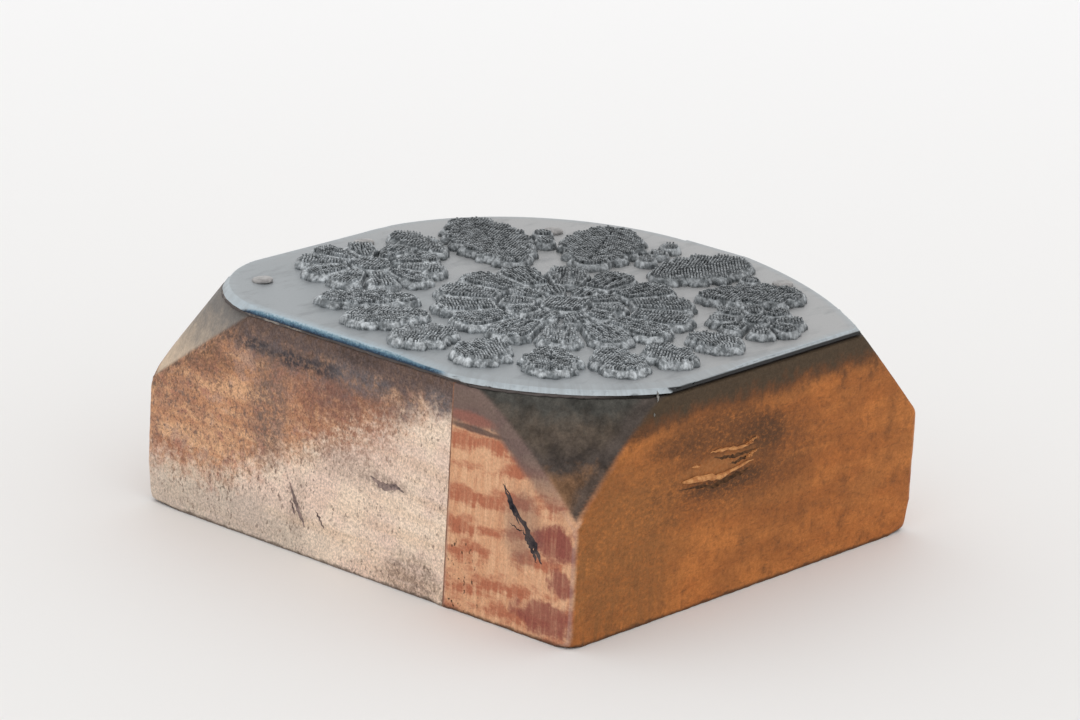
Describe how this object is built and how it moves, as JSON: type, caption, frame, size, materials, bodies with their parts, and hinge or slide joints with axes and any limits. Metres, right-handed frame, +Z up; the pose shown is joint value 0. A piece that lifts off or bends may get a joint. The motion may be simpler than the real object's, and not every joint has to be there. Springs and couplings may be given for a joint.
{
  "type": "printing block",
  "caption": "Type-high letterpress block: an etched zinc relief plate on a card interlay, held by brads to a glued-up wooden block whose upper corners are sawn away.",
  "frame": {"origin": "on the foot, at the middle of the block", "axes": "+X across the two boards towards the narrow one, +Y along the grain away from the front face, +Z up to the printing face"},
  "size_m": [0.0536, 0.05, 0.0233],
  "materials": {
    "pale_wood": "bare end grain, ink stained",
    "red_wood": "bare, handled to an orange brown",
    "hide_glue": "dry hide glue",
    "card": "trimmed edge, ink stained",
    "zinc": "etched and dull, blue ink in the corners",
    "brad_steel": "dull"
  },
  "bodies": {
    "root": {"wide_board": "pale_wood", "edge_strip": "red_wood", "glue_seam": "hide_glue", "interlay_card": "card", "relief_plate": "zinc", "brad_left": "brad_steel", "brad_right": "brad_steel", "brad_back": "brad_steel", "brad_far": "brad_steel"}
  },
  "joints": []
}
